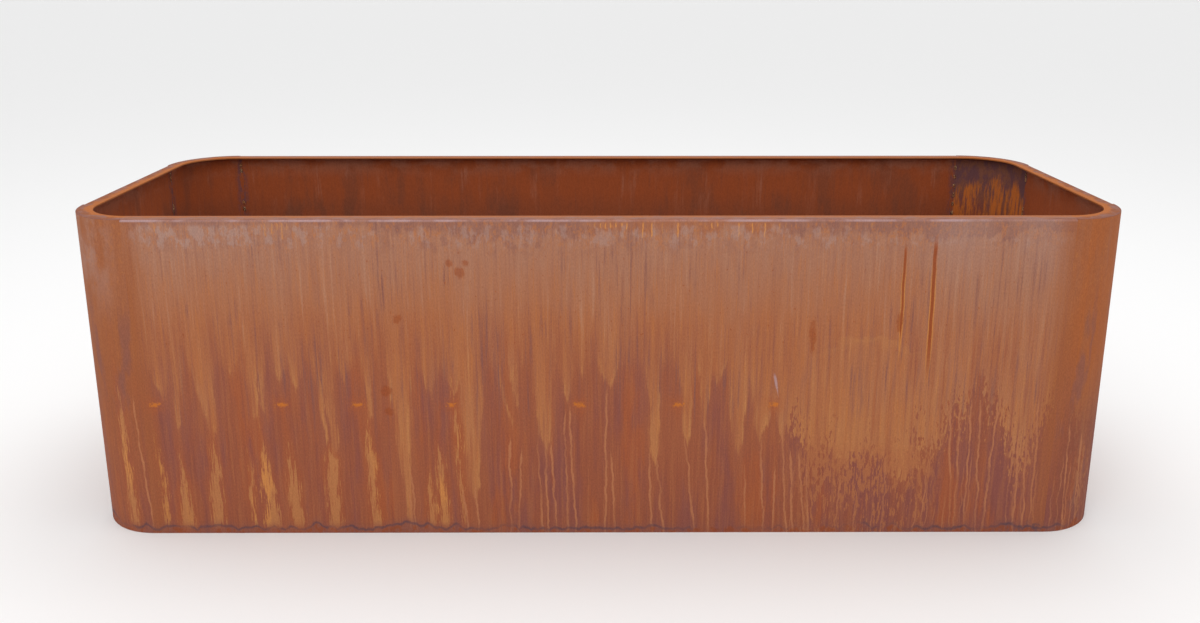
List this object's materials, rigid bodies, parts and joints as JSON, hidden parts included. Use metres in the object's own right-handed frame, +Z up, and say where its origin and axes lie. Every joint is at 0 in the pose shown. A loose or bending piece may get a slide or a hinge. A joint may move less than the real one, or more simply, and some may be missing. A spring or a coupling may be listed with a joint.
{
  "type": "planter box",
  "caption": "Long open-topped planter box of weathering steel with rounded corners, a folded inward rim, a raised drained floor and cross braces inside.",
  "frame": {"origin": "centre of the footprint, on the ground", "axes": "+X along the box's length, +Y from the front face to the back face, +Z up"},
  "size_m": [3, 1, 0.95],
  "materials": {
    "shell_patina": "matt rust patina with vertical water streaks",
    "rim_patina": "matt rust patina, brighter where it has been ground and handled",
    "inner_rust": "dark even rust",
    "fastener_steel": "dull steel with a film of rust"
  },
  "bodies": {
    "root": {"back_panel": "shell_patina", "base_strip_back": "inner_rust", "base_strip_front": "inner_rust", "base_strip_left": "inner_rust", "base_strip_right": "inner_rust", "brace_bolts": "fastener_steel", "brace_lug_back_left": "inner_rust", "brace_lug_back_right": "inner_rust", "brace_lug_front_left": "inner_rust", "brace_lug_front_right": "inner_rust", "brace_nuts": "fastener_steel", "brace_washers": "fastener_steel", "corner_rim_back_left": "rim_patina", "corner_rim_back_right": "rim_patina", "corner_rim_front_left": "rim_patina", "corner_rim_front_right": "rim_patina", "corner_shell_back_left": "shell_patina", "corner_shell_back_right": "shell_patina", "corner_shell_front_left": "shell_patina", "corner_shell_front_right": "shell_patina", "cross_brace_left": "inner_rust", "cross_brace_right": "inner_rust", "floor_bearer_1": "inner_rust", "floor_bearer_2": "inner_rust", "floor_bearer_3": "inner_rust", "floor_bearer_4": "inner_rust", "floor_bearer_5": "inner_rust", "floor_ledger_back": "inner_rust", "floor_ledger_front": "inner_rust", "floor_ledger_left": "inner_rust", "floor_ledger_right": "inner_rust", "floor_plate_1": "inner_rust", "floor_plate_2": "inner_rust", "floor_plate_3": "inner_rust", "floor_plate_4": "inner_rust", "floor_plate_5": "inner_rust", "front_panel": "shell_patina", "left_end_panel": "shell_patina", "right_end_panel": "shell_patina"}
  },
  "joints": []
}
